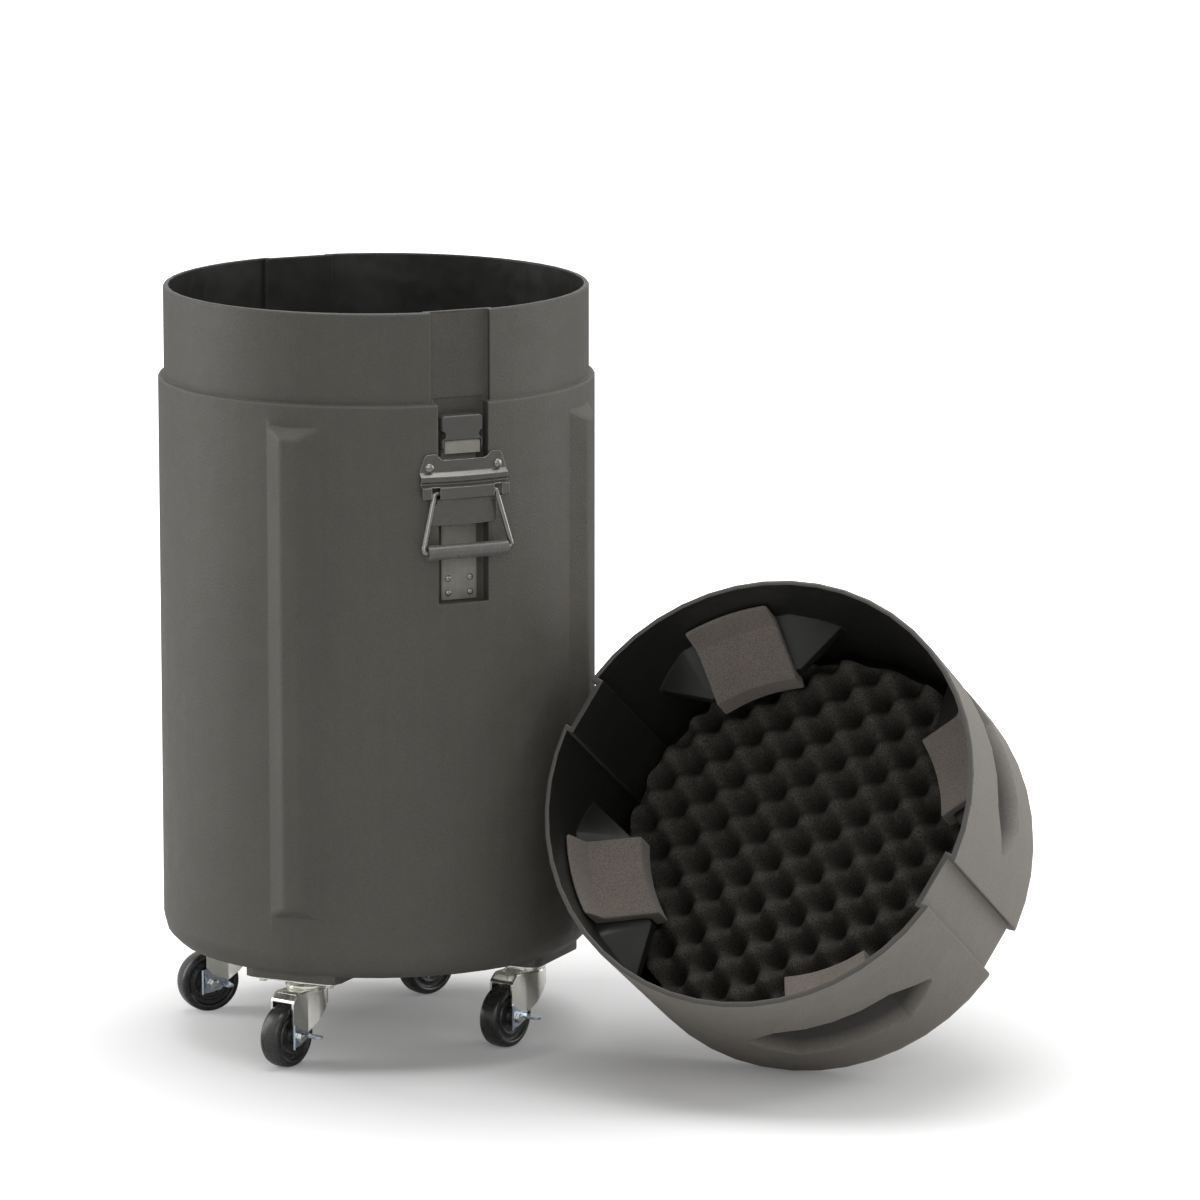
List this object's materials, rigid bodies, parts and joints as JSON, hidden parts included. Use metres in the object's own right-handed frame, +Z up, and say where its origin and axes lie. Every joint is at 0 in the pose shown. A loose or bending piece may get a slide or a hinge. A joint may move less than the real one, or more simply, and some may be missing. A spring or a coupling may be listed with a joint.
{
  "type": "wheeled drum case",
  "caption": "Tall round moulded drum case on swivel casters, with strap latches, bail handles and an open lip, its padded lid taken off and leaning against its side.",
  "frame": {"origin": "middle of the bounding box of case and leaning lid, at the floor", "axes": "+Z up along the case; the front latch faces -Y and the lid leans at +X, -Y"},
  "size_m": [0.779, 0.8364, 0.7833],
  "materials": {
    "case_plastic": "fine leather grain, matte",
    "lid_plastic": "fine leather grain, matte",
    "pad_foam": "soft foam, matte",
    "dark_foam": "open foam, matte",
    "zinc": "bright zinc plate",
    "blue_zinc": "blue zinc plate",
    "steel": "plated steel",
    "wheel_plastic": "hard black tread",
    "handle_metal": "dark satin",
    "grip_plastic": "satin dark grey",
    "webbing": "woven webbing",
    "buckle_plastic": "satin dark grey"
  },
  "bodies": {
    "case": {"body_shell": "case_plastic", "body_floor_foam": "pad_foam", "caster_front_left_plate": "zinc", "caster_front_left_fixing": "steel", "caster_front_right_plate": "zinc", "caster_front_right_fixing": "steel", "caster_back_right_plate": "zinc", "caster_back_right_fixing": "steel", "caster_back_left_plate": "zinc", "caster_back_left_fixing": "steel", "front_handle_plate": "handle_metal", "front_handle_rivet_left": "steel", "front_handle_rivet_right": "steel", "front_strap": "webbing", "front_strap_rivets": "steel", "back_handle_plate": "handle_metal", "back_handle_rivet_left": "steel", "back_handle_rivet_right": "steel", "back_strap": "webbing", "back_strap_rivets": "steel"},
    "front_left_fork": {"caster_front_left_fork": "zinc", "caster_front_left_axle": "steel"},
    "front_left_wheel": {"caster_front_left_wheel": "wheel_plastic"},
    "front_left_brake": {"caster_front_left_brake_lever": "blue_zinc"},
    "front_right_fork": {"caster_front_right_fork": "zinc", "caster_front_right_axle": "steel"},
    "front_right_wheel": {"caster_front_right_wheel": "wheel_plastic"},
    "front_right_brake": {"caster_front_right_brake_lever": "blue_zinc"},
    "back_right_fork": {"caster_back_right_fork": "zinc", "caster_back_right_axle": "steel"},
    "back_right_wheel": {"caster_back_right_wheel": "wheel_plastic"},
    "back_right_brake": {"caster_back_right_brake_lever": "blue_zinc"},
    "back_left_fork": {"caster_back_left_fork": "zinc", "caster_back_left_axle": "steel"},
    "back_left_wheel": {"caster_back_left_wheel": "wheel_plastic"},
    "back_left_brake": {"caster_back_left_brake_lever": "blue_zinc"},
    "front_bail": {"front_bail": "handle_metal", "front_grip": "grip_plastic"},
    "front_buckle": {"front_buckle": "buckle_plastic", "front_buckle_web": "webbing"},
    "back_bail": {"back_bail": "handle_metal", "back_grip": "grip_plastic"},
    "back_buckle": {"back_buckle": "buckle_plastic", "back_buckle_web": "webbing"},
    "lid": {"lid_shell": "lid_plastic", "lid_foam": "dark_foam", "lid_pad_1": "pad_foam", "lid_pad_2": "pad_foam", "lid_pad_3": "pad_foam", "lid_pad_4": "pad_foam"}
  },
  "joints": [
    {"name": "front_left_swivel", "type": "hinge", "parent": "case", "child": "front_left_fork", "pos_m": [-0.2923, 0.06839, 0.08], "axis": [0, 0, 1], "continuous": true},
    {"name": "front_left_roll", "type": "hinge", "parent": "front_left_fork", "child": "front_left_wheel", "pos_m": [-0.32174, 0.05139, 0.0325], "axis": [0.5, -0.866, 0], "continuous": true},
    {"name": "front_left_brake_press", "type": "hinge", "parent": "front_left_fork", "child": "front_left_brake", "pos_m": [-0.32174, 0.05139, 0.0325], "axis": [-0.5, 0.866, 0], "range_deg": [0, 20]},
    {"name": "front_right_swivel", "type": "hinge", "parent": "case", "child": "front_right_fork", "pos_m": [-0.05544, 0.04975, 0.08], "axis": [0, 0, 1], "continuous": true},
    {"name": "front_right_roll", "type": "hinge", "parent": "front_right_fork", "child": "front_right_wheel", "pos_m": [-0.08518, 0.03327, 0.0325], "axis": [0.4848, -0.8746, 0], "continuous": true},
    {"name": "front_right_brake_press", "type": "hinge", "parent": "front_right_fork", "child": "front_right_brake", "pos_m": [-0.08518, 0.03327, 0.0325], "axis": [-0.4848, 0.8746, 0], "range_deg": [0, 20]},
    {"name": "back_right_swivel", "type": "hinge", "parent": "case", "child": "back_right_fork", "pos_m": [-0.0368, 0.28661, 0.08], "axis": [0, 0, 1], "continuous": true},
    {"name": "back_right_roll", "type": "hinge", "parent": "back_right_fork", "child": "back_right_wheel", "pos_m": [-0.06948, 0.27723, 0.0325], "axis": [0.2756, -0.9613, 0], "continuous": true},
    {"name": "back_right_brake_press", "type": "hinge", "parent": "back_right_fork", "child": "back_right_brake", "pos_m": [-0.06948, 0.27723, 0.0325], "axis": [-0.2756, 0.9613, 0], "range_deg": [0, 20]},
    {"name": "back_left_swivel", "type": "hinge", "parent": "case", "child": "back_left_fork", "pos_m": [-0.27365, 0.30525, 0.08], "axis": [0, 0, 1], "continuous": true},
    {"name": "back_left_roll", "type": "hinge", "parent": "back_left_fork", "child": "back_left_wheel", "pos_m": [-0.30766, 0.30525, 0.0325], "axis": [0, -1, 0], "continuous": true},
    {"name": "back_left_brake_press", "type": "hinge", "parent": "back_left_fork", "child": "back_left_brake", "pos_m": [-0.30766, 0.30525, 0.0325], "axis": [0, 1, 0], "range_deg": [0, 20]},
    {"name": "front_bail_swing", "type": "hinge", "parent": "case", "child": "front_bail", "pos_m": [-0.16455, -0.0511, 0.6023], "axis": [-1, 0, 0], "range_deg": [0, 86]},
    {"name": "front_buckle_tip", "type": "hinge", "parent": "case", "child": "front_buckle", "pos_m": [-0.16455, -0.0338, 0.6395], "axis": [1, 0, 0], "range_deg": [0, 50]},
    {"name": "back_bail_swing", "type": "hinge", "parent": "case", "child": "back_bail", "pos_m": [-0.16455, 0.4061, 0.6023], "axis": [1, 0, 0], "range_deg": [0, 86]},
    {"name": "back_buckle_tip", "type": "hinge", "parent": "case", "child": "back_buckle", "pos_m": [-0.16455, 0.3888, 0.6395], "axis": [-1, 0, 0], "range_deg": [0, 50]},
    {"name": "lid_lift", "type": "slide", "parent": "case", "child": "lid", "axis": [0, 0, 1], "range_m": [0, 0.3]}
  ]
}
